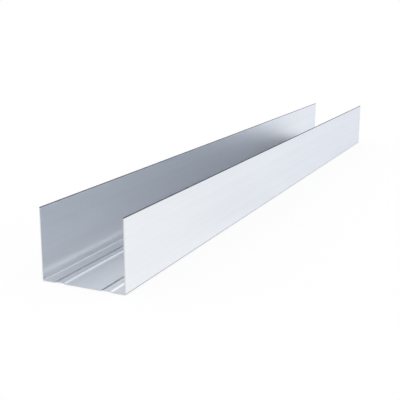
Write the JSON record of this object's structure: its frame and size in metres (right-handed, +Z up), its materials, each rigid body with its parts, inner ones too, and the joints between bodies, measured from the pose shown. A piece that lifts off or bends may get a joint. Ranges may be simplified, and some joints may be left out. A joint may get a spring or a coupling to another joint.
{
  "type": "drywall track",
  "caption": "Roll-formed U-channel of thin galvanised steel: plain upright flanges on a web with shallow lengthwise ribs, fixed to a floor or ceiling to hold the ends of wall studs.",
  "frame": {"origin": "middle of the web's underside, on the floor that the track lies on", "axes": "+X along the track, +Y across the web, +Z up, from the web towards the free edges of the flanges"},
  "size_m": [0.5, 0.05, 0.04],
  "materials": {
    "galvanised_steel": "zinc-coated cold-rolled steel strip, satin, bluish grey, with fine lengthwise rolling lines"
  },
  "bodies": {
    "root": {"track": "galvanised_steel"}
  },
  "joints": []
}
